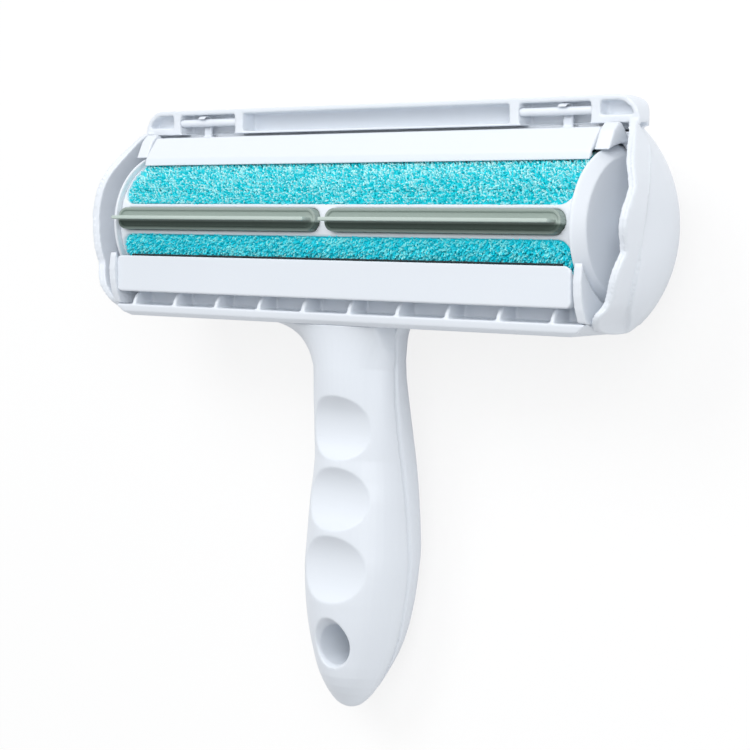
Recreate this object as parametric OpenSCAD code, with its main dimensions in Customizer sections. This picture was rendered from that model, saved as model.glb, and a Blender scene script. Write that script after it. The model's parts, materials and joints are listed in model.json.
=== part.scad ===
// Pet hair removal brush with a rocking fabric roller and a dust chamber behind it.
// All pieces are drawn upright: X along the head, Y to the back, Z up, with the
// roller axis on the X axis. The whole brush is then laid on its back.

/* [Head] */
// half of the clear length between the two end plates
head_half = 82.8; // [78:0.2:90]
// thickness of an end plate
plate_t = 2.5; // [2:0.1:2.8]
// number of short ribs in the slot under the lower lip
rib_count = 10; // [4:2:14]
// thickness of one of those ribs
rib_t = 1.2; // [0.8:0.1:2]

/* [Roller] */
// outer radius of the roller shell
drum_r = 19.2; // [18.8:0.1:19.3]
// how far the roller stands turned up at rest
drum_rest = 4.75; // [0:0.25:10]
// width of the plain bar between the two fabric panels
bar_w = 8.8; // [8:0.2:11]
// corner radius of the fabric windows
window_r = 4; // [2:0.5:6]
// height of the fabric pile over its backing floor
pile_h = 1.7; // [1.2:0.1:1.8]
// height of the rubber blade over the roller
blade_h = 5.2; // [3:0.2:6]
// thickness of the rubber blade
blade_t = 1; // [0.8:0.1:1.6]
// gap between the two rubber pieces
blade_gap = 3.3; // [2:0.1:8]

/* [Lid] */
// wall thickness of the rear lid
lid_wall = 2.2; // [1.8:0.1:2.4]
// diameter of the lid hinge pins
pin_d = 2.2; // [1.8:0.1:2.4]
// width of one hinge clip
clip_w = 3; // [2:0.5:4]

/* [Handle] */
// radius of the finger grooves
groove_r = 13.5; // [12:0.1:14.5]
// depth of the finger grooves
groove_depth = 3.8; // [1:0.1:4]
// radius of the hanging hole
hole_r = 5.6; // [4:0.1:6.4]

/* [Hidden] */
$fn = 96;

white = [0.93, 0.94, 0.95];
teal = [0.1, 0.75, 0.82];
rubber_grey = [0.52, 0.59, 0.55];
bristle_dark = [0.12, 0.12, 0.13];

// outlines around the roller are given for a roller of 19.2 and grow with it
e = head_half;
k = drum_r / 19.2;
clear_r = drum_r + 0.6;
disc_r = drum_r + 1.5;
disc_room = disc_r + 0.5;
floor_r = drum_r - 0.1 - pile_h;
core_r = floor_r - 1.9;
stub_r = 3.5;
fit_gap = 0.06;
hinge_y = 0.2 * k;
hinge_z = 29.6 * k;
rail_low = 26.2 * k;
rail_top = 33.3 * k;
shelf_low = -26.9 * k;
handle_shift = shelf_low + 26.9;

// dome behind the head: a barrel on its side with rounded ends
dome_y = -7.5 * k;
dome_z = 0.4 * k;
dome_r = 34.2 * k;
dome_end = e + 13.2;
dome_round = 28 * k;
dome_top = 26.8 * k;
dome_foot = -24.5 * k;

// half width of the lid ends in front of the crease, by height
end_pts = [[34, 3.2], [27, 5.4], [24, 7], [20.5, 8.5], [17.5, 9.9], [13, 11.9], [9, 12.9],
    [4, 13.4], [0, 13.1], [-6, 12.3], [-13, 10.7], [-18, 8.9], [-22, 6.2], [-25.6, 3.6],
    [-28, 2.8], [-34, 2.6]];
// crease between the finger edge and the dome, in the side view
crease_pts = [[-1, 40], [-0.8, 27], [0.3, 20.9], [-4.2, 14.7], [-7.2, 8.9], [-8.8, 4.1], [-9.5, 0.4], [-9.9, -3.6],
    [-10, -8.9], [-10.4, -12.2], [-9.9, -16.7], [-8.2, -20.5], [-4, -24.2], [-1, -27], [-1, -40]];

// handle sections: height, middle depth, half width, half depth
handle_rows = [
    [-42, -4.2, 13.8, 11.9], [-65, -2.5, 14.9, 12.8], [-77, -2.9, 16.1, 13.9],
    [-90, -3.4, 17, 14.6], [-96, -4.1, 17, 14.6], [-104, -4.7, 16.3, 14.1],
    [-112, -5.3, 14.9, 12.8], [-118, -5.8, 13.3, 11.4], [-124, -6.7, 10.9, 9.4],
    [-129, -6.9, 7.7, 6.7], [-132.2, -6.9, 4.2, 3.6], [-133.2, -6.9, 1.2, 1]];
flare_rows = [
    [-26.9, -4.2, 31.6, 12.6], [-27.7, -4.2, 26.8, 12.4], [-29.2, -4.2, 22.2, 12.2],
    [-31.4, -4.2, 18.6, 12], [-34.4, -4.2, 15.9, 11.9], [-38, -4.2, 14.2, 11.9]];
neck_rows = [
    [-26.9, -4.2, 16.6, 12.3], [-28.4, -4.2, 15.4, 12.1], [-30, -4.2, 14.6, 12],
    [-34, -4.2, 13.9, 11.9]];
seam_y = -4;
seam_in = 0.5;
seam_w = 1.3;
hole_y = -5.8;
hole_z = -115;
section_steps = 44;

// smooth curve through a list of points or rows
function knot(p, i) = p[max(0, min(len(p) - 1, i))];
function curve(p, n) = [
    for (i = [0 : len(p) - 2]) for (j = [0 : n - 1])
        let (t = j / n, a = knot(p, i - 1), b = knot(p, i), c = knot(p, i + 1), d = knot(p, i + 2))
            0.5 * (2 * b + (c - a) * t + (2 * a - 5 * b + 4 * c - d) * t * t
                + (3 * b - a - 3 * c + d) * t * t * t),
    p[len(p) - 1]];

back_rows = curve(concat(neck_rows, handle_rows), 2);
front_rows = curve(concat(flare_rows, handle_rows), 2);

// the lying position: the dome and the back of the handle touch the ground together
function lean(row) = let (a = row[1] + row[3] - dome_y, b = dome_z - row[0] - handle_shift)
    asin(dome_r / sqrt(a * a + b * b)) - atan2(a, b);
rest_lean = min([for (r = back_rows) if (r[0] < -60) lean(r)]);
function rest_along(y, z) = y * sin(rest_lean) + z * cos(rest_lean);
section_angles = [for (i = [0 : section_steps - 1]) i * 360 / section_steps];
rest_front = min([for (r = back_rows) for (a = section_angles)
    rest_along(r[1] - r[3] * cos(a), r[0] + handle_shift)]);
rail_pts = k * [[-1.3, 26.2], [-1.3, 33.3], [4.4, 33.3], [5.8, 31.4], [5.8, 25.4], [3, 25.4], [3, 26.2]];
rest_back = max([for (p = rail_pts) rest_along(p[0], p[1])]);
rest_drop = dome_y * cos(rest_lean) - dome_z * sin(rest_lean) + dome_r;

module laid() {
    translate([0, -(rest_front + rest_back) / 2, rest_drop])
        rotate([rest_lean - 90, 0, 0])
            children();
}

module both() {
    children();
    mirror([1, 0, 0])
        children();
}

// profile in Y and Z drawn out along X
module along_x(x0, x1) {
    translate([x0, 0, 0])
        rotate([90, 0, 90])
            linear_extrude(height = x1 - x0)
                children();
}

// profile in X and Z drawn out along Y
module along_y(y0, y1) {
    translate([0, y1, 0])
        rotate([90, 0, 0])
            linear_extrude(height = y1 - y0)
                children();
}

module box(x0, x1, y0, y1, z0, z1) {
    translate([x0, y0, z0])
        cube([x1 - x0, y1 - y0, z1 - z0]);
}

module sector(r0, r1, a0, a1) {
    am = (a0 + a1) / 2;
    far = r1 * 2;
    intersection() {
        difference() {
            circle(r1);
            circle(r0);
        }
        polygon([[0, 0], [far * cos(a0), far * sin(a0)], [far * cos(am), far * sin(am)],
            [far * cos(a1), far * sin(a1)]]);
    }
}

module obround(x0, x1, w) {
    translate([x0 + w / 2, -w / 2])
        square([x1 - x0 - w, w]);
    translate([x0 + w / 2, 0])
        circle(w / 2);
    translate([x1 - w / 2, 0])
        circle(w / 2);
}

// handle body as a skin over its sections
module loft(rows) {
    n = section_steps;
    m = len(rows);
    pts = [for (r = rows) for (a = section_angles) [r[2] * sin(a), r[1] - r[3] * cos(a), r[0]]];
    sides = [for (j = [0 : m - 2]) for (i = [0 : n - 1])
        [j * n + i, j * n + (i + 1) % n, (j + 1) * n + (i + 1) % n, (j + 1) * n + i]];
    lid = [for (i = [0 : n - 1]) n - 1 - i];
    tip = [for (i = [0 : n - 1]) (m - 1) * n + i];
    polyhedron(concat(pts), concat(sides, [lid], [tip]));
}

module grooves() {
    for (c = [-56, -75, -94.5])
        translate([0, groove_front(c) + groove_depth - groove_r, c])
            rotate([0, 90, 0])
                cylinder(r = groove_r, h = 60, center = true);
}

function groove_front(c) = min([for (r = front_rows) if (abs(r[0] - c) < 6) r[1] - r[3]]);

module handle_cavity() {
    translate([0, -3.4, -104])
        linear_extrude(height = 80) {
            square([6, 11.4], center = true);
            translate([-3, 0])
                circle(5.7);
            translate([3, 0])
                circle(5.7);
        }
}

module hole_cut(r) {
    translate([0, hole_y, hole_z])
        rotate([90, 0, 0])
            cylinder(r = r, h = 60, center = true);
}

// bracket at each end that carries the roller and both lips
module end_plate() {
    intersection() {
        difference() {
            union() {
                along_x(e - 2, e + plate_t)
                    difference() {
                        polygon(k * [[-10.7, 14.5], [-9.6, 17.9], [-8.2, 20.9], [-6.5, 24.4],
                            [-4.4, 26.4], [-3, 25.9], [-1.7, 24.5], [-0.9, 23.1], [-0.2, 22.4],
                            [3, 22.4], [8, 18.5], [8, 14.5]]);
                        circle(disc_room);
                    }
                along_x(e, e + plate_t)
                    difference() {
                        polygon(k * [[-16.5, -5.3], [-18.8, -6.6], [-20, -9.4], [-20.4, -13.1],
                            [-20.2, -16.6], [-19.5, -20], [-18.2, -23.2], [-16.5, -23.6], [0.5, -23.6],
                            [8, -18.5], [8, -14], [-8, -5.3]]);
                        circle(disc_room);
                    }
                bearing_strap();
            }
            rotate([0, 90, 0])
                cylinder(r = stub_r + fit_gap, h = 2 * e + 40, center = true);
        }
        lid_form(lid_wall + 0.4);
    }
}

// strap outside the roller disc with the bearing eye in its middle
module bearing_strap() {
    intersection() {
        along_y(-9, 10)
            polygon([[e, k * 24], [e + plate_t, k * 24], [e + 5.4, k * 17.5], [e + 5.4, -k * 17.5],
                [e + plate_t, -k * 23.5], [e, -k * 23.5], [e, -k * 21.3], [e + 2.8, -k * 18],
                [e + 2.8, k * 18], [e, k * 21.3]]);
        along_x(e - 1, e + 8) {
            translate([0, -30])
                square([8 * k, 60]);
            circle(stub_r + 1.3);
        }
    }
}

module end_plate_left() {
    color(white)
        laid()
            mirror([1, 0, 0])
                end_plate();
}

module end_plate_right() {
    color(white)
        laid()
            end_plate();
}

// shelf and floor under the roller, with the short ribs that carry the lower lip
module head_frame() {
    color(white)
        laid() {
            intersection() {
                along_x(-e - 2.1, e + 2.1)
                    polygon(k * [[-18.1, -23.6], [-17.8, -25.7], [-16.6, -26.9], [-1, -26.9],
                        [0.6, -26.1], [0.6, -24.4], [-0.4, -23.6]]);
                along_y(-30, 10)
                    shelf_front();
            }
            intersection() {
                along_x(3 - e, e - 3)
                    difference() {
                        polygon(k * [[-2, -26], [1.6, -25.6], [6, -24.5], [9.6, -21.6],
                            [8.4, -19.6], [4.4, -21.4], [-2, -23.6]]);
                        circle(clear_r + 0.4);
                    }
                lid_form(lid_wall + 0.4);
            }
            shelf_ribs();
        }
}

module shelf_front() {
    corner = k * [[0, -23.6], [-0.9, -24.6], [-2.7, -25.9], [-5.1, -26.9]];
    polygon(concat([for (p = corner) [e + 2.1 + p[0], p[1]]],
        [for (i = [3 : -1 : 0]) [-e - 2.1 - corner[i][0], corner[i][1]]]));
}

module shelf_ribs() {
    pitch = (2 * e - 12) / rib_count;
    for (i = [0 : rib_count - 1])
        translate([pitch * (i - (rib_count - 1) / 2), 0, 0])
            along_x(-rib_t / 2, rib_t / 2)
                polygon(k * [[-17.7, -23.7], [-17.3, -22.2], [-16.4, -20.8], [-15.2, -19.8],
                    [-9, -19.8], [-9, -23.7]]);
    along_x(3 - e, e - 3)
        polygon(k * [[-12.4, -23.7], [-12.4, -19.8], [-10.4, -19.8], [-10.4, -23.7]]);
}

// rear half of the handle, with a narrow stepped seam where it meets the front half
module handle_rear_shell() {
    color(white)
        laid()
            difference() {
                translate([0, 0, handle_shift])
                    union() {
                        intersection() {
                            loft(back_rows);
                            box(-60, 60, seam_y + seam_w, 40, -140, -26.9);
                        }
                        intersection() {
                            loft([for (r = back_rows) [r[0] + (r[0] < -110 ? seam_in : 0), r[1],
                                max(r[2] - seam_in, 0.4), max(r[3] - seam_in, 0.4)]]);
                            box(-60, 60, seam_y, seam_y + seam_w + 0.5, -140, -26.9);
                        }
                    }
                translate([0, 0, handle_shift]) {
                    handle_cavity();
                    hole_cut(hole_r + 1.7);
                }
            }
}

// cross bar behind the upper lip with the two clips that hold the lid
module top_beam() {
    color(white)
        laid() {
            along_x(2.4 - e, e - 2.4)
                difference() {
                    polygon(k * [[-1.7, 19], [-1.7, 25.4], [2.4, 25.4], [2.4, 19]]);
                    circle(clear_r);
                }
            for (s = [-1, 1])
                translate([s * (e - 17.4), 0, 0])
                    along_x(-clip_w / 2, clip_w / 2)
                        hinge_clip();
        }
}

// room for the rims of the two end discs
module disc_rims() {
    both()
        along_x(e - 1.6, e + 1)
            circle(disc_room);
}

module hinge_clip() {
    difference() {
        union() {
            translate([hinge_y, hinge_z])
                circle(pin_d / 2 + 0.95);
            translate([hinge_y + pin_d / 2 - 0.1, 25.2 * k])
                square([1.05, hinge_z - 25.2 * k]);
        }
        translate([hinge_y, hinge_z])
            circle(pin_d / 2 + fit_gap);
        translate([hinge_y - 4.4, hinge_z - 5])
            square([4, 6]);
        translate([hinge_y - 4.4, hinge_z - 5])
            square([4.4 + pin_d / 2 - 0.2, 5]);
    }
}

// front half of the handle with the three finger grooves and the hanging hole
module handle_front_shell() {
    color(white)
        laid()
            translate([0, 0, handle_shift])
                difference() {
                    union() {
                        intersection() {
                            loft(front_rows);
                            box(-60, 60, -40, seam_y, -140, -26.9);
                        }
                        intersection() {
                            hole_cut(hole_r + 1.6);
                            loft(front_rows);
                            box(-20, 20, -40, 4.4, -140, -90);
                        }
                    }
                    grooves();
                    handle_cavity();
                    hole_cut(hole_r);
                    translate([0, -15.2, hole_z])
                        rotate([90, 0, 0])
                            cylinder(r1 = hole_r, r2 = hole_r + 2.2, h = 4);
                    translate([0, 3.6, hole_z])
                        rotate([-90, 0, 0])
                            cylinder(r1 = hole_r, r2 = hole_r + 0.9, h = 0.9);
                }
}

// strip above the roller
module upper_lip() {
    color(white)
        laid()
            along_x(2.4 - e, e - 2.4)
                difference() {
                    polygon(k * [[-10.35, 16.6], [-9.75, 19.2], [-5.4, 25.2], [-1.7, 25.2],
                        [-1.7, 16]]);
                    circle(clear_r);
                    sector(drum_r, drum_r + 1.8, 100.9, 115.1);
                }
}

// strip under the roller
module lower_lip() {
    color(white)
        laid()
            difference() {
                intersection() {
                    along_x(1.4 - e, e - 1.4)
                        difference() {
                            polygon(k * [[-19.2, -9.2], [-19.2, -19.8], [-7, -19.8], [-7, -9]]);
                            circle(clear_r);
                            sector(drum_r, drum_r + 1.8, 206.4, 218.1);
                        }
                    along_y(-20 * k, -5)
                        rounded(e - 1.4, -19.8 * k, -9.2 * k, 1.8);
                }
                disc_rims();
            }
}

module rounded(half, z0, z1, r) {
    translate([r - half, z0])
        square([2 * half - 2 * r, z1 - z0]);
    translate([-half, z0 + r])
        square([2 * half, z1 - z0 - 2 * r]);
    for (s = [-1, 1])
        for (z = [z0 + r, z1 - r])
            translate([s * (half - r), z])
                circle(r);
}

module bristle_strip_upper() {
    color(bristle_dark)
        laid()
            along_x(5 - e, e - 5)
                sector(drum_r + 0.32, drum_r + 1.7, 101, 115);
}

module bristle_strip_lower() {
    color(bristle_dark)
        laid()
            along_x(5 - e, e - 5)
                sector(drum_r + 0.32, drum_r + 1.7, 206.5, 218);
}

module turned() {
    rotate([-drum_rest, 0, 0])
        children();
}

// window opening of the upper fabric panel; the lower one is its mirror image
module window(r0, r1, inset) {
    intersection() {
        along_x(-e, e)
            sector(r0, r1, 105 + inset * 3, 180);
        along_y(-30, 0)
            rounded_up(e - 1.8 - inset, bar_w / 2 + inset, window_r);
    }
}

module rounded_up(half, z0, r) {
    translate([r - half, z0])
        square([2 * half - 2 * r, 40]);
    translate([-half, z0 + r])
        square([2 * half, 40]);
    for (s = [-1, 1])
        translate([s * (half - r), z0 + r])
            circle(r);
}

// half shell of the roller, open to the chamber behind it
module drum_core() {
    color(white)
        laid()
            turned()
                difference() {
                    union() {
                        along_x(1.2 - e, e - 1.2) {
                            sector(core_r, drum_r, 92, 180);
                            sector(core_r, drum_r, 180, 268);
                        }
                        along_x(5.3 - e, e - 5.3)
                            intersection() {
                                circle(drum_r);
                                translate([-drum_r, -bar_w / 2])
                                    square([5, bar_w]);
                            }
                    }
                    window(floor_r, drum_r + 2, 0);
                    mirror([0, 0, 1])
                        window(floor_r, drum_r + 2, 0);
                    blade_seats(0.05);
                }
}

module blade_seats(more) {
    along_y(-drum_r - 2, -drum_r + 2) {
        obround(2.3 - e - more, -blade_gap / 2 - 0.5 + more, 6.3 + 2 * more);
        obround(blade_gap / 2 - 0.5 - more, e - 3.3 + more, 6.3 + 2 * more);
    }
}

module fabric_panel() {
    window(floor_r, floor_r + pile_h, 0.15);
}

module fabric_upper() {
    color(teal)
        laid()
            turned()
                fabric_panel();
}

module fabric_lower() {
    color(teal)
        laid()
            turned()
                mirror([0, 0, 1])
                    fabric_panel();
}

// rubber foot with a raised rim and a thin upright fin
module blade(x0, x1) {
    along_y(-drum_r - 1.35, -drum_r + 2)
        obround(x0, x1, 6.3);
    difference() {
        along_y(-drum_r - 1.8, -drum_r - 1)
            obround(x0, x1, 6.3);
        along_y(-drum_r - 3, -drum_r)
            obround(x0 + 0.9, x1 - 0.9, 4.5);
    }
    along_y(-drum_r - blade_h, -drum_r)
        obround(x0 + 0.7, x1 - 1.6, blade_t);
}

module rubber_blade_left() {
    color(rubber_grey)
        laid()
            turned()
                blade(2.3 - e, -blade_gap / 2 - 0.5);
}

module rubber_blade_right() {
    color(rubber_grey)
        laid()
            turned()
                blade(blade_gap / 2 - 0.5, e - 3.3);
}

// end disc of the roller with its spigot and axle stub
module disc() {
    rotate([0, 90, 0])
        rotate_extrude()
            polygon([[0, e - 1.2], [core_r - 2.1, e - 1.2], [core_r - 2.1, e - 5], [core_r - 0.1, e - 5],
                [core_r - 0.1, e - 1.2], [disc_r, e - 1.2], [disc_r, e - 0.4], [disc_r - 2.6, e + 2.4],
                [stub_r, e + 2.4], [stub_r, e + 5.6], [0, e + 5.6]]);
}

module drum_disc_left() {
    color(white)
        laid()
            mirror([1, 0, 0])
                disc();
}

module drum_disc_right() {
    color(white)
        laid()
            disc();
}

// side outline of the lid at its left end, a plain arc with one step low down
module lid_side_left() {
    arc = curve([[-1.2, 27.7], [-4.2, 26], [-6.4, 23.8], [-9.5, 20.1], [-12.7, 15.9],
        [-14.7, 11.3], [-15.8, 6.7], [-16.4, 2.1], [-16.8, -2.1], [-16.9, -7.5], [-16.2, -11.6]], 2);
    low = curve([[-16.8, -13.6], [-17.7, -17.5], [-17.4, -21.2], [-16.6, -23.4], [-14.6, -24.8],
        [-10.5, -26], [-6.1, -26.5], [-1.7, -26.4], [0.6, -25.6], [1.8, -24.7]], 2);
    polygon(k * concat([[-1.2, 30]], arc, low, [[4, -24.5], [60, -24.5], [60, 30]]));
}

// side outline at the right end, with the wavy finger edge to the front
module lid_side() {
    upper = curve([[-1.2, 27.5], [-4.6, 23.3], [-7, 20.4], [-9, 17.9], [-10.6, 15.4], [-11.7, 12.4],
        [-12.3, 10.2]], 2);
    bulge = curve([[-12.9, 9.2], [-15.1, 6.2], [-16.7, 3.7], [-17.1, 1.3], [-16.9, -0.7], [-15.9, -3.4],
        [-15.2, -5.6]], 3);
    lower = curve([[-15.6, -6.6], [-17, -9.6], [-17.5, -12.8], [-17.1, -15.7], [-16.7, -18.4]], 3);
    foot = curve([[-17.1, -19.6], [-17.9, -21.2], [-16.9, -23.2], [-14.6, -24.8], [-10.5, -26],
        [-6.1, -26.5], [-1.7, -26.4], [0.6, -25.6], [1.8, -24.7]], 3);
    polygon(k * concat([[-1.2, 30]], upper, bulge, lower, foot, [[4, -24.5], [60, -24.5], [60, 30]]));
}

// lid ends in front of the crease
module end_band(inset) {
    half = [for (p = curve(end_pts, 2)) [e + p[1] - inset, k * p[0]]];
    intersection() {
        along_y(-60 * k, 30 * k)
            polygon(concat(half, [for (i = [len(half) - 1 : -1 : 0]) [-half[i][0], half[i][1]]]));
        along_x(-e - 20, e + 20)
            polygon(k * concat([[-60, 40]], crease_pts, [[-60, -40]]));
    }
}

// dome behind the crease
module dome(inset) {
    r = dome_round - inset;
    far = dome_end - inset;
    intersection() {
        translate([0, dome_y, dome_z])
            rotate([0, 90, 0])
                rotate_extrude($fn = 180)
                    dome_half(r, far);
        along_x(-e - 20, e + 20)
            polygon(k * concat([[60, 40]], crease_pts, [[60, -40]]));
    }
}

module dome_half(r, far) {
    core = dome_r - dome_round;
    square([core, far]);
    translate([0, -far])
        square([core, far]);
    translate([0, r - far])
        square([core + r, 2 * far - 2 * r]);
    for (s = [-1, 1])
        intersection() {
            translate([core, s * (far - r)])
                circle(r);
            translate([0, -far])
                square([core + r, 2 * far]);
        }
}

module lid_form(inset) {
    end_band(inset);
    dome(inset);
}

// dome, wavy end cheeks and the rail with its open channel
module rear_lid() {
    color(white)
        laid()
            difference() {
                union() {
                    intersection() {
                        difference() {
                            lid_form(0);
                            lid_form(lid_wall);
                            disc_travel();
                        }
                        union() {
                            along_x(-e - 20, 0)
                                lid_side_left();
                            along_x(0, e + 20)
                                lid_side();
                        }
                        box(-e - 20, e + 20, -40 * k, 60 * k, -27 * k, dome_top);
                    }
                    intersection() {
                        lid_form(0);
                        box(-e - 3, e + 3, 3, 60, dome_top - lid_wall, dome_top);
                    }
                    intersection() {
                        lid_form(0);
                        box(3.6 - e, e - 3.6, 9.2 * k, 60, dome_foot, dome_foot + lid_wall);
                    }
                    rail();
                    box(-11, 11, 12.2 * k, 14.4 * k, dome_foot - 2, dome_foot + 1.5);
                }
                box(-e - 3.1, e + 3.1, -40, 3, -24 * k, rail_low - 0.2);
                box(-e - 0.8, e + 0.8, -40, 3, -40, -23 * k);
                rail_cuts();
            }
}

// room for the end discs, which turn close to the lid
module disc_travel() {
    both()
        rotate([0, 90, 0])
            rotate_extrude()
                polygon([[0, e - 2], [disc_room, e - 2], [disc_room, e], [disc_room - 2.8, e + 2.8],
                    [0, e + 2.8]]);
}

module rail() {
    intersection() {
        along_x(-e - 7, e + 7)
            polygon(rail_pts);
        along_y(-60, 60)
            rounded(e + 6.4, rail_low - 8, rail_top, 7);
        translate([0, 0, 20 * k])
            linear_extrude(height = 20 * k)
                rounded(e + 6.4, -10, 5.8 * k, 4);
    }
}

module rail_cuts() {
    high = rail_top - 1.4;
    box(-e + 34.3, e - 34.3, -5, 4.2 * k, rail_low + 0.7, high);
    both() {
        box(e - 31.1, e - 8.5, -5, 4.2 * k, rail_low + 0.1, high);
        along_y(-5, 2.4 * k)
            intersection() {
                rounded(e + 5, rail_low - 8, high, 5.6);
                translate([e - 5.6, rail_low + 2.2])
                    square([12, 8]);
            }
        box(e - 17.4 - clip_w / 2 - 0.4, e - 17.4 + clip_w / 2 + 0.4, -5, 3.4 * k, rail_low - 1.2,
            rail_low + 2.8);
        pin_bore(0);
    }
}

module pin_bore(more) {
    translate([e - 33.4, hinge_y, hinge_z])
        rotate([0, 90, 0])
            cylinder(r = pin_d / 2 + more, h = 27.2);
}

module hinge_pin_left() {
    color(white)
        laid()
            mirror([1, 0, 0])
                pin_bore(0);
}

module hinge_pin_right() {
    color(white)
        laid()
            pin_bore(0);
}

head_frame();
top_beam();
end_plate_left();
end_plate_right();
handle_front_shell();
handle_rear_shell();
upper_lip();
lower_lip();
bristle_strip_upper();
bristle_strip_lower();
drum_core();
drum_disc_left();
drum_disc_right();
fabric_upper();
fabric_lower();
rubber_blade_left();
rubber_blade_right();
rear_lid();
hinge_pin_left();
hinge_pin_right();
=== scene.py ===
# %% [markdown]
# A pet hair removal brush, dressed over its CAD frame. The brush lies on its
# back: the long head with the rocking roller looks up, and the handle points to
# the front. The frame brings exact but sharp and bare solids. This script gives
# them soft edges, finishes, a pile and bristles. The scene is in metres, while
# sizes on the brush itself are written in millimetres.

# %% Load the frame
import json
import math
import random

import bpy
import numpy as np
from mathutils import Matrix, Vector


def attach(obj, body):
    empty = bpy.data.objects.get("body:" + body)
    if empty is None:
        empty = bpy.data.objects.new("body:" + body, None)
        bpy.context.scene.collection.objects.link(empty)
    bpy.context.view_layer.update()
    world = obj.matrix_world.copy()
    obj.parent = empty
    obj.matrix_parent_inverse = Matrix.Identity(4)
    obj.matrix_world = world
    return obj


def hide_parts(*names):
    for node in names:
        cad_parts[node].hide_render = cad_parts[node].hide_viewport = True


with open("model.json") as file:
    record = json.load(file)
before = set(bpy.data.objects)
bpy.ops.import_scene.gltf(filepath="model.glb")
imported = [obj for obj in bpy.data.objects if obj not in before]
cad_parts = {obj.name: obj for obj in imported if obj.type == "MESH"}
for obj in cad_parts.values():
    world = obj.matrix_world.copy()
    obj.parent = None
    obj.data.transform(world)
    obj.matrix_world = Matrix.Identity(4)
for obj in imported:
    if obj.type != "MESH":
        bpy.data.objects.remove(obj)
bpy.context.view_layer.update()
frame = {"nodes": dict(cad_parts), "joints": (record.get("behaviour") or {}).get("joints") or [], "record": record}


bpy.ops.object.select_all(action="DESELECT")

# %% [markdown]
# The pieces are drawn most easily as if the brush stood upright, with X along
# the head, Y to the back and Z up, and the roller axis at the origin. One
# matrix then lays them down the way the CAD model lies. The frame knows both
# things that the matrix needs: where the roller turns, and which way the
# hanging hole points, which on the upright brush is straight to the front.

# %% The lying matrix
joints = {joint["name"]: joint for joint in frame["joints"]}
hole = next(mount for mount in frame["record"]["mounts"] if mount["name"] == "hang_hole")
_, front_y, front_z = hole["axis"]
LAY = (Matrix.Translation(joints["roller_rock"]["pos_m"])
       @ Matrix.Rotation(math.atan2(-front_z, -front_y), 4, "X"))
print("roller axis lies at", LAY @ Vector((0, 0, 0)))

# %% [markdown]
# The camera repeats the photograph: a long lens, about 41 degrees round to the
# right of the head and a little above its middle. It could be matched by eye,
# but the edges of the head run to a vanishing point, and that gives the lens. It
# is described for the upright brush, and the same matrix lays it down with the
# brush, so the picture shows the brush upright although it lies on its back.

# %% Camera
AZIMUTH = math.radians(40.941)
ELEVATION = math.radians(4.668)
CAMERA_PLACE = (0.38975, -0.44786, 0.00696)
SENSOR_WIDTH = 36.0
PICTURE_PIXELS = 750.0
FOCAL_PIXELS = 2143.0
camera_data = bpy.data.cameras.new("camera")
camera_data.sensor_width = SENSOR_WIDTH
camera_data.lens = SENSOR_WIDTH * FOCAL_PIXELS / PICTURE_PIXELS
camera_data.clip_start = 0.01
camera_data.clip_end = 20.0
camera = bpy.data.objects.new("camera", camera_data)
bpy.context.scene.collection.objects.link(camera)
turn = (Matrix.Rotation(AZIMUTH, 4, "Z")
        @ Matrix.Rotation(math.pi / 2 - ELEVATION, 4, "X"))
camera.matrix_world = LAY @ Matrix.Translation(CAMERA_PLACE) @ turn
bpy.context.scene.camera = camera
print("camera stands at", camera.matrix_world.translation)

# %% [markdown]
# The photograph has a white ground and no horizon. More light would make the
# ground white too, but it would bleach the brush. So the white is made of light
# that only the camera meets: a Light Path node tells which ray is asking, the
# camera gets one shader and every other ray gets another.

# %% One shader for the camera and another for all other rays


def feed(tree, socket, value):
    if isinstance(value, bpy.types.NodeSocket):
        tree.links.new(value, socket)
    elif isinstance(value, tuple):
        socket.default_value = (*value, 1)
    else:
        socket.default_value = value


def grey_shader(tree, kind, grey):
    shader = tree.nodes.new(kind)
    feed(tree, shader.inputs["Color"], (grey, grey, grey))
    return shader.outputs[0]


def mix_shaders(tree, share, first, second):
    mix = tree.nodes.new("ShaderNodeMixShader")
    for socket, value in zip(mix.inputs, (share, first, second)):
        feed(tree, socket, value)
    return mix.outputs[0]


def camera_sees(tree, seen, other):
    ray = tree.nodes.new("ShaderNodeLightPath")
    return mix_shaders(tree, ray.outputs["Is Camera Ray"], other, seen)


print("shader helpers ready")

# %% [markdown]
# The brush lies on a plain pale floor. A curved backdrop would hide the horizon
# too, but under a sky of the same white a plane is enough. What the camera sees
# of it is mostly even white, and the rest is the lit surface, which keeps the
# soft shadow of the brush. All other rays meet an ordinary pale floor.

# %% Floor
FLOOR_SIZE = 6
FLOOR_GREY = 0.9
SEEN_GREY = 0.93
WHITE_SHARE = 0.82


def pale_floor():
    mat = bpy.data.materials.new("pale_floor")
    mat.use_nodes = True
    tree = mat.node_tree
    tree.nodes.clear()
    lit = grey_shader(tree, "ShaderNodeBsdfDiffuse", FLOOR_GREY)
    shaded = grey_shader(tree, "ShaderNodeBsdfDiffuse", SEEN_GREY)
    white = grey_shader(tree, "ShaderNodeEmission", 1.0)
    seen = mix_shaders(tree, WHITE_SHARE, shaded, white)
    out = tree.nodes.new("ShaderNodeOutputMaterial")
    feed(tree, out.inputs["Surface"], camera_sees(tree, seen, lit))
    return mat


bpy.ops.mesh.primitive_plane_add(size=FLOOR_SIZE, location=(0, 0, 0))
floor = bpy.context.object
floor.name = "floor"
floor.data.materials.append(pale_floor())
print("floor made of", floor.data.materials[0].name)

# %% [markdown]
# The light is that of a small studio: an even sky that fills every shadow, a
# large lamp from the upper left and one of nearly the same power from the
# right, so that each side of the white brush has a tone of its own and none
# clips. The lamps are placed for the upright brush and laid down with it.

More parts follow.
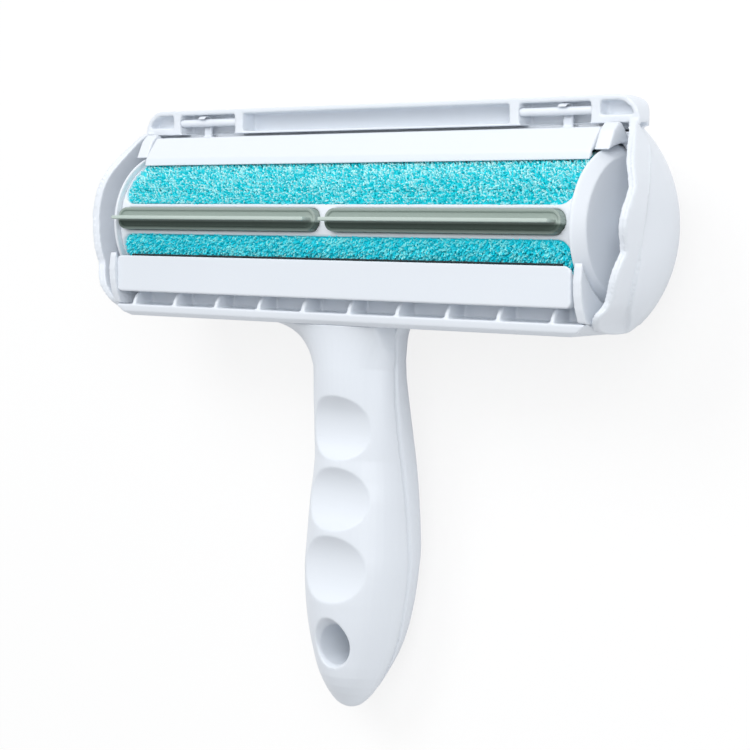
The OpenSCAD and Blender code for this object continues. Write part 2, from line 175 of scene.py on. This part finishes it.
# %% Light
SKY_COLOR = (0.97, 0.98, 1.0)
SKY_STRENGTH = 0.49
SEEN_SKY_GREY = 0.97
LAMP_AIM = (0, 0, -0.04)
world = bpy.data.worlds.new("studio")
bpy.context.scene.world = world
world.use_nodes = True
sky = world.node_tree
lit_sky = sky.nodes["Background"]
feed(sky, lit_sky.inputs["Color"], SKY_COLOR)
feed(sky, lit_sky.inputs["Strength"], SKY_STRENGTH)
seen_sky = grey_shader(sky, "ShaderNodeBackground", SEEN_SKY_GREY)
both_skies = camera_sees(sky, seen_sky, lit_sky.outputs[0])
feed(sky, sky.nodes["World Output"].inputs["Surface"], both_skies)
bpy.context.scene.view_settings.view_transform = "Standard"


def lamp(name, where, size, power):
    data = bpy.data.lights.new(name, "AREA")
    data.size = size
    data.energy = power
    obj = bpy.data.objects.new(name, data)
    bpy.context.scene.collection.objects.link(obj)
    obj.location = LAY @ Vector(where)
    ray = LAY @ Vector(LAMP_AIM) - obj.location
    obj.rotation_euler = ray.to_track_quat("-Z", "Y").to_euler()


lamp("key", where=(-0.35, -0.85, 0.85), size=0.7, power=6.8)
lamp("fill", where=(0.62, -0.92, 0.4), size=0.9, power=6.7)

# %% [markdown]
# Every finish below is wired from the same few parts: a noise that sticks to
# the piece, a sum, a mix of two colours, and the tone that some meshes store
# with their points. A helper for each keeps the recipes short enough to read.

# %% Parts that the finishes are wired from


def noise(tree, scale, detail=2.0):
    place = tree.nodes.new("ShaderNodeTexCoord")
    cloud = tree.nodes.new("ShaderNodeTexNoise")
    feed(tree, cloud.inputs["Vector"], place.outputs["Object"])
    feed(tree, cloud.inputs["Scale"], scale)
    feed(tree, cloud.inputs["Detail"], detail)
    return cloud.outputs["Fac"]


def reckon(tree, operation, *values):
    node = tree.nodes.new("ShaderNodeMath")
    node.operation = operation
    for socket, value in zip(node.inputs, values):
        feed(tree, socket, value)
    return node.outputs[0]


def blend(tree, share, first, second):
    mix = tree.nodes.new("ShaderNodeMix")
    mix.data_type = "RGBA"
    feed(tree, mix.inputs["Factor"], share)
    feed(tree, mix.inputs["A"], first)
    feed(tree, mix.inputs["B"], second)
    return mix.outputs["Result"]


def stored_tone(tree):
    tone = tree.nodes.new("ShaderNodeAttribute")
    tone.attribute_name = "tone"
    return tone.outputs["Fac"]


print("node helpers ready")

# %% [markdown]
# Moulded plastic is never one flat white. It has a fine mould texture, and
# where it flowed unevenly into the mould its tone and its gloss differ faintly.
# An image could show that, but a noise needs no unwrapping and fits any piece.
# It is one node group, used by every moulded finish with its own values.

# %% Node group for moulded surfaces
FLOW_SCALE = 22
FLOW_DETAIL = 3
FLOW_DULLS = 0.12
GRAIN_SCALE = 1400
GROUP_SOCKETS = (("Color", "INPUT", "Color"), ("Shade", "INPUT", "Color"),
                 ("Roughness", "INPUT", "Float"), ("Grain", "INPUT", "Float"),
                 ("Color", "OUTPUT", "Color"), ("Roughness", "OUTPUT", "Float"),
                 ("Height", "OUTPUT", "Float"))


def moulded_group():
    group = bpy.data.node_groups.new("moulded_surface", "ShaderNodeTree")
    for title, way, kind in GROUP_SOCKETS:
        group.interface.new_socket(title, in_out=way, socket_type="NodeSocket" + kind)
    given = group.nodes.new("NodeGroupInput").outputs
    result = group.nodes.new("NodeGroupOutput").inputs
    flow = noise(group, FLOW_SCALE, FLOW_DETAIL)
    grain = noise(group, GRAIN_SCALE)
    roughness = reckon(group, "MULTIPLY_ADD", flow, FLOW_DULLS, given["Roughness"])
    feed(group, result["Color"], blend(group, flow, given["Color"], given["Shade"]))
    feed(group, result["Roughness"], roughness)
    feed(group, result["Height"], reckon(group, "MULTIPLY", grain, given["Grain"]))
    return group


MOULDED = moulded_group()
print("group", MOULDED.name, "has", len(MOULDED.nodes), "nodes")

# %% [markdown]
# A moulded finish is the group above in front of one shader. Plastic goes from its colour to its shade where the
# flow does. Rubber takes its place between two colours from the tone stored with its points, and that tone is
# painted light: a painted shadow below the fin and a painted highlight on its edge.

# %% Moulded finishes
GRAIN_DEPTH = 0.0002
PLASTIC_IOR = 1.46


def moulded(name, color, shade, roughness, grain, bump=0.05, by_tone=False):
    mat = bpy.data.materials.new(name)
    mat.use_nodes = True
    tree = mat.node_tree
    if by_tone:
        color = blend(tree, stored_tone(tree), color, shade)
        shade = color
    skin = tree.nodes.new("ShaderNodeGroup")
    skin.node_tree = MOULDED
    for title, value in (("Color", color), ("Shade", shade),
                         ("Roughness", roughness), ("Grain", grain)):
        feed(tree, skin.inputs[title], value)
    bulge = tree.nodes.new("ShaderNodeBump")
    feed(tree, bulge.inputs["Strength"], bump)
    feed(tree, bulge.inputs["Distance"], GRAIN_DEPTH)
    feed(tree, bulge.inputs["Height"], skin.outputs["Height"])
    bsdf = tree.nodes["Principled BSDF"]
    feed(tree, bsdf.inputs["Base Color"], skin.outputs["Color"])
    feed(tree, bsdf.inputs["Roughness"], skin.outputs["Roughness"])
    feed(tree, bsdf.inputs["Normal"], bulge.outputs["Normal"])
    feed(tree, bsdf.inputs["IOR"], PLASTIC_IOR)
    return mat


white_plastic = moulded("white_plastic", color=(0.79, 0.83, 0.885),
                        shade=(0.755, 0.8, 0.855), roughness=0.3, grain=1.0)
# The rubber's dark colour paints the shadow under the fin, and its pale colour paints the lit face and the
# highlight on the fin.
grey_rubber = moulded("grey_rubber", color=(0.05, 0.08, 0.065), shade=(0.5, 0.59, 0.545),
                      roughness=0.5, grain=2.0, bump=0.2, by_tone=True)
dark_bristle = moulded("dark_bristle", color=(0.03, 0.03, 0.035), shade=(0.06, 0.06, 0.065),
                       roughness=0.7, grain=2.0, bump=0.3)
pile_teal = moulded("pile_teal", color=(0.02, 0.5, 0.62), shade=(0.05, 0.7, 0.8),
                    roughness=0.8, grain=2.0, bump=0.3)
print("finishes", [m.name for m in (white_plastic, grey_rubber, dark_bristle, pile_teal)])

# %% [markdown]
# The record names a material slot for each solid. Every solid gets its finish
# here, also those that a softened copy stands in for later.

# %% Finishes of the CAD solids
FINISH = {"white_plastic": white_plastic, "grey_rubber": grey_rubber,
          "dark_bristle": dark_bristle, "pile_fabric": pile_teal}
slot_of = {s["node"]: s["material_slot"] for s in frame["record"]["subparts"]}
body_of = {n: b for b, ns in frame["record"]["behaviour"]["bodies"].items() for n in ns}
for name, obj in frame["nodes"].items():
    for slot in obj.material_slots:
        slot.material = FINISH[slot_of[name]]
print("finishes given to", len(slot_of), "nodes")

# %% [markdown]
# Many places are known for the upright brush, in millimetres: the seam of the
# handle, the ribs under the head, the spots where pile grows. These helpers
# read a mesh in that upright frame and write it back laid down, all points at
# once, which is far quicker than a loop over the points.

# %% Read and write points of the upright brush
MM = 1000.0
TURN = np.array(LAY.to_3x3())
SHIFT = np.array(LAY.translation)


def vectors(items, what):
    flat = np.empty(len(items) * 3)
    items.foreach_get(what, flat)
    return flat.reshape(-1, 3)


def laid(points):
    return points / MM @ TURN.T + SHIFT


def upright(mesh):
    return (vectors(mesh.vertices, "co") - SHIFT) @ TURN * MM


def lay_down(mesh, points):
    mesh.vertices.foreach_set("co", laid(points).ravel())
    mesh.update()


def between(values, low, high):
    return (values > low) & (values < high)


print("upright frame turned by", TURN.round(4).tolist())

# %% [markdown]
# No moulded edge is knife sharp: a mould always leaves a small radius, and that
# radius catches the light as a thin bright line. The CAD solids have sharp
# edges. Each moulded piece is therefore a copy whose doubles are merged, drawn
# anew by a fine voxel remesh, and then smoothed a few times, which rounds every
# edge by the same small amount. A bevel would be lighter, but it fails on the
# many short edges of these solids.

# %% Copies with soft edges
MERGE_DISTANCE = 0.000005


def only(obj):
    bpy.ops.object.select_all(action="DESELECT")
    obj.select_set(True)
    bpy.context.view_layer.objects.active = obj


def merged_copy(node, name):
    mesh = frame["nodes"][node].data.copy()
    obj = bpy.data.objects.new(name, mesh)
    bpy.context.scene.collection.objects.link(obj)
    only(obj)
    bpy.ops.object.mode_set(mode="EDIT")
    bpy.ops.mesh.select_all(action="SELECT")
    bpy.ops.mesh.remove_doubles(threshold=MERGE_DISTANCE)
    bpy.ops.object.mode_set(mode="OBJECT")
    return obj


def change(obj, kind, **settings):
    only(obj)
    step = obj.modifiers.new(kind, kind)
    for setting, value in settings.items():
        setattr(step, setting, value)
    bpy.ops.object.modifier_apply(modifier=step.name)


def soften(obj, voxel, passes, share=1):
    change(obj, "REMESH", mode="VOXEL", voxel_size=voxel / MM)
    change(obj, "SMOOTH", factor=0.5, iterations=passes)
    if share < 1:
        change(obj, "DECIMATE", ratio=share)
    bpy.ops.object.shade_smooth()


print("softening helpers ready")

# %% [markdown]
# Handing a finished piece over gives it its finish in a material slot of its own, parents it to the body that it
# moves with, and hides the solid that it stands in for.

# %% Hand a finished piece over


def hand_over(obj, node, finish=None):
    if finish is None:
        finish = FINISH[slot_of[node]]
    obj.data.materials.clear()
    obj.data.materials.append(finish)
    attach(obj, body_of[node])
    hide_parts(node)
    print(obj.name, len(obj.data.polygons), "faces")


print("finishes by slot", sorted(FINISH))

# %% [markdown]
# The lips, plates, discs and beams are plain mouldings. Thin ones get finer
# voxels, so that their walls keep their thickness. Two of them are changed
# before that: the lower lip is a little longer at the left, and the round rods
# that show in the hinge windows are thicker, as on the real brush. A scaled
# object would thicken its posts too, so only the points near the axis move.

# %% Changes to the lip and the hinge rods
LIP_END = -70
LIP_LONGER = 1.8
ROD_REACH = 1.4
ROD_GAIN = 1.45
hinge = np.array(LAY.inverted() @ Vector(joints["lid_hinge"]["pos_m"])) * MM


def lengthen_lip(points):
    points[points[:, 0] < LIP_END, 0] -= LIP_LONGER


def thicken_rods(points):
    away = points[:, 1:] - hinge[1:]
    rod = np.hypot(away[:, 0], away[:, 1]) < ROD_REACH
    points[rod, 1:] += away[rod] * (ROD_GAIN - 1)
    print("rod points", int(rod.sum()))


print("lid hinge of the upright brush at", hinge.round(3))

# %% Plain mouldings
# Each has a voxel size in millimetres, smoothing passes and a share of faces.
SKINS = {"top_beam": (0.33, 2, 1),
         "end_plate_left": (0.33, 3, 1),
         "end_plate_right": (0.33, 3, 1),
         "upper_lip": (0.33, 3, 1),
         "lower_lip": (0.4, 3, 1),
         "drum_disc_left": (0.33, 3, 1),
         "drum_disc_right": (0.33, 3, 1),
         "drum_core": (0.5, 2, 0.3)}
CHANGES = {"lower_lip": lengthen_lip, "top_beam": thicken_rods}
for node, (voxel, passes, share) in SKINS.items():
    piece = merged_copy(node, node + "_moulded")
    if node in CHANGES:
        points = upright(piece.data)
        CHANGES[node](points)
        lay_down(piece.data, points)
    soften(piece, voxel, passes, share)
    hand_over(piece, node)

# %% [markdown]
# Under the head a row of thin ribs stiffens the shelf, with a wall behind them.
# On the real brush the ribs stand a little further apart than in the solid and
# the wall lies further back. New ribs would have to be joined to the shelf, so
# the points of the old ones are moved, before the copy is softened. Both faces
# of the wall move: with one alone, the thin wall would turn inside out.

# %% Head frame with its ribs
RIB_SPREAD = 1.1
RIB_SHIFT = -1.5
RIBS_X = (-70, 70)
RIBS_Y = (-18, -8.8)
RIBS_Z = (-23.8, -19.6)
WALL_BACK = {-10.4: 1.5, -12.4: 1.9}
FACE_TOLERANCE = 0.2
head = merged_copy("head_frame", "head_frame_moulded")
points = upright(head.data)
x, y, z = points.T
level = between(z, *RIBS_Z)
in_ribs = level & between(y, *RIBS_Y) & between(x, *RIBS_X)
x[in_ribs] = x[in_ribs] * RIB_SPREAD + RIB_SHIFT
for face_y, back in WALL_BACK.items():
    y[level & (np.abs(y - face_y) < FACE_TOLERANCE)] += back
lay_down(head.data, points)
soften(head, voxel=0.35, passes=2, share=0.5)
hand_over(head, "head_frame")
print("rib points moved", int(in_ribs.sum()))

# %% [markdown]
# The handle is two shells that meet in a seam. The seam isn't straight: it
# swings forward below the neck and again at the tip, as it follows the swell of
# the grip. It could be cut anew with a curved cutter, but that would leave thin
# slivers at the step of the seam. So both shells are softened, and then their
# points near the seam slide back or forth by the same amount, and the halves
# still fit each other. The finger grooves and the right corner of the neck are
# set the same way.

# %% Curves of the handle
# The pairs are a height on the upright handle and a move, in millimetres.
SEAM_Y = -4.0
SEAM_SWING = ((-133, -3.4), (-123, -2.9), (-113, -1.7), (-101, -0.8), (-92, -0.2),
              (-80, -0.2), (-65, -0.6), (-58, -1.4), (-48, -2.3), (-20, -2.3))
GROOVE_SHIFT = ((-110, 0), (-106, 0.6), (-94.5, 1.9), (-75, 2.0), (-66, 1.2), (-56, 0.4),
                (-42, 0))
FRONT_REACH = 9.0
BACK_REACH = 12.0
CORNER_X = 12.6
NECK_FOOT = -43
NECK_RISE = 10


def curve(z, pairs):
    return np.interp(z, *zip(*pairs))


def slide_seam(y, z):
    away = y - SEAM_Y
    reach = np.where(away < 0, FRONT_REACH, BACK_REACH)
    share = np.clip(1 - (away / reach) ** 2, 0, 1) ** 2
    y += share * curve(z, SEAM_SWING)


def slim_corner(x, z, squeeze):
    over = np.clip(x - CORNER_X, 0, None)
    slim = squeeze * (1 - np.exp(-over / squeeze))
    x += (slim - over) * np.clip((z - NECK_FOOT) / NECK_RISE, 0, 1)


print("seam swings over", len(SEAM_SWING), "heights")

# %% Handle shells
SQUEEZE = {"handle_front_shell": 1.3, "handle_rear_shell": 5.5}
for node, squeeze in SQUEEZE.items():
    shell = merged_copy(node, node + "_moulded")
    soften(shell, voxel=0.32, passes=4, share=0.6)
    points = upright(shell.data)
    x, y, z = points.T
    z += curve(z, GROOVE_SHIFT)
    slide_seam(y, z)
    slim_corner(x, z, squeeze)
    lay_down(shell.data, points)
    hand_over(shell, node)

# %% [markdown]
# The lid is one thin dome whose ends have a raised rim, with a fine crease that
# follows the wavy finger edge. Bump in the material would fade where the crease
# meets the outline, so it is real: all that lies in front of the crease is
# pushed out along the normals, less so near the rail. The lid is the largest
# smooth surface of the brush, and it is thinned only after that.

# %% Rear lid
# The pairs are a height and how far forward or back the crease lies there.
CREASE = ((-27, -1), (-24.2, -4), (-20.5, -8.2), (-16.7, -9.9), (-12.2, -10.4), (-8.9, -10),
          (-3.6, -9.9), (0.4, -9.5), (4.1, -8.8), (8.9, -7.2), (14.7, -4.2), (20.9, 0.3),
          (27, -0.8))
END_X = 83.6
OUTWARD = 0.1
RIM_STEP = 0.5
RIM_TOP = 24.0
RIM_FADE = 5
lid = merged_copy("rear_lid", "rear_lid_moulded")
soften(lid, voxel=0.36, passes=3)
points = upright(lid.data)
facing = vectors(lid.data.vertex_normals, "vector") @ TURN
x, y, z = points.T
rim = ((np.abs(x) > END_X) & (facing[:, 0] * np.sign(x) > OUTWARD)
       & (y < curve(z, CREASE)))
fade = np.clip((RIM_TOP - np.abs(z)) / RIM_FADE, 0, 1)
points[rim] += facing[rim] * (RIM_STEP * fade[rim])[:, None]
lay_down(lid.data, points)
change(lid, "DECIMATE", ratio=0.26)
bpy.ops.object.shade_smooth()
hand_over(lid, "rear_lid")
print("rim points", int(rim.sum()))

# %% [markdown]
# The two rubber wipers are soft strips with a raised rim and a thin fin. Rubber has rounder edges than plastic, in
# proportion to its size, so they get the finest voxels of all. The strip is painted dark below the fin, as the
# fin's shadow, and paler above it where the light falls, and the fin's edge is the palest, a painted highlight. A
# painted image would need unwrapping, so each point stores its tone instead. Height is counted square to the
# roller's front, which looks a few degrees upwards at rest.

# %% Rubber wipers
ROLLER_TURN = math.radians(-4.75)
# Tone by height: a painted shadow below the fin, paler above it where the light falls.
WIPER_SHADING = ((-3.2, 0.45), (-2.5, 0.1), (-0.9, 0.0), (-0.2, 0.72), (0.6, 0.62), (3.2, 0.52))
FIN_Y = -22.6
FIN_DEPTH = 1.5
# The fin's edge gets a painted highlight.
FIN_HIGHLIGHT = 0.35
for node in ("rubber_blade_left", "rubber_blade_right"):
    wiper = merged_copy(node, node + "_moulded")
    soften(wiper, voxel=0.17, passes=5)
    _, y, z = upright(wiper.data).T
    # Painted shadow and highlight, stored as a tone per point.
    tone = curve(z - y * math.tan(ROLLER_TURN), WIPER_SHADING)
    tone += FIN_HIGHLIGHT * np.clip((FIN_Y - y) / FIN_DEPTH, 0, 1)
    stored = wiper.data.attributes.new("tone", "FLOAT", "POINT")
    stored.data.foreach_set("value", np.clip(tone, 0, 1))
    hand_over(wiper, node)

# %% [markdown]
# The two cloth panels are a short directional pile on a woven back. A texture
# alone would stay flat at the edges, and hair particles aren't a mesh that can
# be handed on, so each panel is a thin backing and many small tufts. One tuft
# is modelled by hand: a slim four sided cone without a base, bent over in its
# upper half. It has only a few faces, because it is repeated thousands of
# times, and each copy stands at its own angle.

# %% One tuft
BEND_HEIGHT = 0.55
TIP_HEIGHT = 0.9
DOWNWARD = -0.9


def one_tuft(name, foot, tip, length, bend):
    bpy.ops.object.select_all(action="DESELECT")
    bpy.ops.mesh.primitive_cone_add(vertices=4, radius1=foot, radius2=tip, depth=length,
                                    location=(0, 0, length / 2), end_fill_type="NGON")
    tuft = bpy.context.object
    tuft.name = name
    bpy.ops.object.transform_apply(location=True, rotation=True, scale=True)
    bpy.ops.object.mode_set(mode="EDIT")
    bpy.ops.mesh.select_all(action="SELECT")
    bpy.ops.mesh.bisect(plane_co=(0, 0, length * BEND_HEIGHT), plane_no=(0, 0, 1))
    bpy.ops.mesh.select_all(action="DESELECT")
    bpy.ops.object.mode_set(mode="OBJECT")
    for face in tuft.data.polygons:
        face.select = face.normal.z < DOWNWARD
    bpy.ops.object.mode_set(mode="EDIT")
    bpy.ops.mesh.select_mode(type="FACE")
    bpy.ops.mesh.delete(type="ONLY_FACE")
    bpy.ops.object.mode_set(mode="OBJECT")
    for vertex in tuft.data.vertices:
        if vertex.co.z > length * TIP_HEIGHT:
            vertex.co.x += bend
    print(name, len(tuft.data.polygons), "faces")
    return tuft


pile_tuft = one_tuft("pile_tuft", foot=0.28, tip=0.21, length=1.15, bend=0.15)
bristle_tuft = one_tuft("bristle_tuft", foot=0.16, tip=0.07, length=1.35, bend=0.1)

# %% [markdown]
# Each tuft stands on the round drum: its foot is given by its place along the
# head, its angle round the roller axis and its distance from that axis. It
# leans mostly upwards or downwards along the nap. A number per tuft, its tone,
# says later how pale it is.

# %% Plant tufts on a round surface
random.seed(7)
NAP_SPREAD = 32


def stand(x, angle, radius, lean, side, twist, turn):
    out = Vector((0, math.cos(angle), math.sin(angle)))
    along = Vector((0, -math.sin(angle), math.cos(angle)))
    aside = along * math.cos(side) + Vector((1, 0, 0)) * math.sin(side)
    up = out * math.cos(lean) + aside * math.sin(lean)
    across = up.orthogonal().normalized()
    axes = Matrix((across, up.cross(across), up)).transposed()
    axes = turn @ axes @ Matrix.Rotation(twist, 3, "Z")
    foot = turn @ (out * radius + Vector((x, 0, 0)))
    return np.array(axes), np.array(foot)


def plant(name, node, tuft, spots, turn, finish, lean_range, against):
    shape = np.array([v.co for v in tuft.data.vertices])
    pattern = [list(f.vertices) for f in tuft.data.polygons]
    points = []
    for x, angle, radius, _ in spots:
        side = math.radians(random.gauss(0, NAP_SPREAD))
        if random.random() < against:
            side += math.pi
        lean = math.radians(random.uniform(*lean_range))
        twist = random.uniform(0, math.tau)
        axes, foot = stand(x, angle, radius, lean, side, twist, turn)
        points.append(shape @ axes.T + foot)
    starts = range(0, len(spots) * len(shape), len(shape))
    faces = [[start + corner for corner in face] for start in starts for face in pattern]
    mesh = bpy.data.meshes.new(name)
    mesh.from_pydata(laid(np.concatenate(points)).tolist(), [], faces)
    tones = np.repeat([tone for *_, tone in spots], len(shape))
    mesh.attributes.new("tone", "FLOAT", "POINT").data.foreach_set("value", tones)
    obj = bpy.data.objects.new(name, mesh)
    bpy.context.scene.collection.objects.link(obj)
    hand_over(obj, node, finish)


print("two tufts in three lean within", NAP_SPREAD, "degrees of the nap")

# %% [markdown]
# The pile has a teal ground, and its many pale ends are painted sheen highlights. Both come from one material,
# which reads the tone of each tuft and adds a little fine noise along it. The stiff bristles are the same kind of
# tuft in a nearly black green.

# %% Pile materials
FIBRE_SCALE = 2600
FIBRE_SHARE = 0.3
DEEP_BELOW = 0.25
PALE_ABOVE = 1.15
PILE_ROUGHNESS = 0.55


def pile_finish(name, deep, pale):
    mat = bpy.data.materials.new(name)
    mat.use_nodes = True
    tree = mat.node_tree
    tone = reckon(tree, "MULTIPLY_ADD", noise(tree, FIBRE_SCALE), FIBRE_SHARE, stored_tone(tree))
    ends = tree.nodes.new("ShaderNodeMapRange")
    feed(tree, ends.inputs["Value"], tone)
    feed(tree, ends.inputs["From Min"], DEEP_BELOW)
    feed(tree, ends.inputs["From Max"], PALE_ABOVE)
    bsdf = tree.nodes["Principled BSDF"]
    feed(tree, bsdf.inputs["Base Color"], blend(tree, ends.outputs["Result"], deep, pale))
    feed(tree, bsdf.inputs["Roughness"], PILE_ROUGHNESS)
    return mat


# The pale colour of the pile is a painted sheen highlight. The lower panel faces down into shade, so its teal is
# painted brighter than the upper one's.
upper_pile = pile_finish("upper_pile", (0.0, 0.72, 0.81), (0.66, 1.0, 1.0))
lower_pile = pile_finish("lower_pile", (0.0, 0.76, 0.9), (0.38, 1.0, 1.0))
bristle_ends = pile_finish("bristle_ends", (0.004, 0.02, 0.025), (0.03, 0.09, 0.1))
pile_back = moulded("pile_back", color=(0.0, 0.56, 0.66), shade=(0.0, 0.68, 0.78),
                    roughness=0.8, grain=3.0, bump=0.4)
print("pile materials", [m.name for m in (upper_pile, lower_pile, bristle_ends, pile_back)])

# %% [markdown]
# A panel reaches from the wiper bar to the lip, with two rounded corners at the
# bar. Feet are set on a loose grid. The backing is a copy of the CAD panel,
# pressed down to a thin sheet, so that the tufts stand out of it.

# %% Shape of a cloth panel
PANEL_HALF = 80.2
PANEL_LOW = 4.6
PANEL_CORNER = 4.0
PANEL_TOP = 105.6
BACKING_RADIUS = 18.35
PILE_RADIUS = 18.3
PILE_STEP = 0.66


def in_panel(x, z):
    if abs(x) > PANEL_HALF or z < PANEL_LOW:
        return False
    dx = abs(x) - (PANEL_HALF - PANEL_CORNER)
    dz = PANEL_LOW + PANEL_CORNER - z
    return dx < 0 or dz < 0 or dx * dx + dz * dz < PANEL_CORNER * PANEL_CORNER


def press(obj, radius):
    points = upright(obj.data)
    reach = np.hypot(points[:, 1], points[:, 2])
    tall = reach > radius
    points[tall, 1:] *= (radius / reach[tall])[:, None]
    lay_down(obj.data, points)


print("panel is", 2 * PANEL_HALF, "mm wide")

# %% [markdown]
# Seen close, the pile is a salt and pepper of deep and pale tufts with few between them, and the pale tufts are
# painted sheen highlights. A beta draw with both its numbers under 1 gives just that, where an even draw would
# give a grey mean. The higher its second number, the rarer are pale tufts. Each panel has that number, its
# paleness at the bar and the growth of it up to the lip, because the upper panel is painted paler towards its lip,
# a painted highlight.

# %% Cloth panels
DEEP_TUFTS = 0.5
FOOT_PLAY = (0.1, 0.9)
PILE_LEAN = (15, 48)
AGAINST_NAP = 0.4


def grow(node, name, sign, tones, finish):
    backing = merged_copy(node, name + "_backing")
    press(backing, BACKING_RADIUS)
    hand_over(backing, node, pile_back)
    rare, at_bar, growth = tones
    arc = 180 - PANEL_TOP
    rows = int(math.radians(arc) * PILE_RADIUS / PILE_STEP)
    spots = []
    for row in range(rows):
        level = (row + 0.5) / rows
        for column in range(int(2 * PANEL_HALF / PILE_STEP)):
            x = -PANEL_HALF + PILE_STEP * (column + random.uniform(*FOOT_PLAY))
            angle = math.radians(180 - arc * (row + random.uniform(*FOOT_PLAY)) / rows)
            # Pale tufts are painted sheen highlights.
            tone = random.betavariate(DEEP_TUFTS, rare) * (at_bar + growth * level)
            if in_panel(x, PILE_RADIUS * math.sin(angle)):
                spots.append((x, sign * angle, PILE_RADIUS, tone))
    roller = Matrix.Rotation(ROLLER_TURN, 3, "X")
    plant(name, node, pile_tuft, spots, roller, finish, PILE_LEAN, AGAINST_NAP)


# The upper panel grows paler towards its lip: a painted highlight.
grow("fabric_upper", "pile_upper", sign=1, tones=(0.62, 0.7, 0.45), finish=upper_pile)
grow("fabric_lower", "pile_lower", sign=-1, tones=(0.8, 1.0, -0.1), finish=lower_pile)

# %% [markdown]
# Dark bristle strips sit inside the two lips and strip the hair off the roller.
# They are rows of short stiff tufts on a thin dark base. The head carries them,
# so they don't turn with the roller. Each strip runs between two angles.

# %% Bristle strips
STRIPS = {"bristle_strip_upper": (101, 115), "bristle_strip_lower": (206.5, 218)}
STRIP_HALF = 77.4
STRIP_COLUMNS = 270
STRIP_RADIUS = 20
ROW_STEP = 0.5
COLUMN_PLAY = (0.2, 0.8)
ROW_PLAY = (0.3, 0.7)
BASE_RADIUS = 19.95
BRISTLE_RADIUS = 19.6
BRISTLE_LEAN = (2, 14)
EITHER_WAY = 0.5
for node, (first, last) in STRIPS.items():
    base = merged_copy(node, node + "_base")
    press(base, BASE_RADIUS)
    hand_over(base, node)
    rows = int(math.radians(last - first) * STRIP_RADIUS / ROW_STEP)
    spots = []
    for row in range(rows):
        for column in range(STRIP_COLUMNS):
            along = (column + random.uniform(*COLUMN_PLAY)) / STRIP_COLUMNS
            across = (row + random.uniform(*ROW_PLAY)) / rows
            angle = math.radians(first + (last - first) * across)
            x = -STRIP_HALF + 2 * STRIP_HALF * along
            spots.append((x, angle, BRISTLE_RADIUS, random.random()))
    plant(node + "_tufts", node, bristle_tuft, spots, Matrix.Identity(3), bristle_ends,
          BRISTLE_LEAN, EITHER_WAY)

for spare in (pile_tuft, bristle_tuft):
    bpy.data.objects.remove(spare, do_unlink=True)
print("spare tufts removed")

# %% [markdown]
# The last step clears the selection.

# %% Finish
bpy.ops.object.select_all(action="DESELECT")
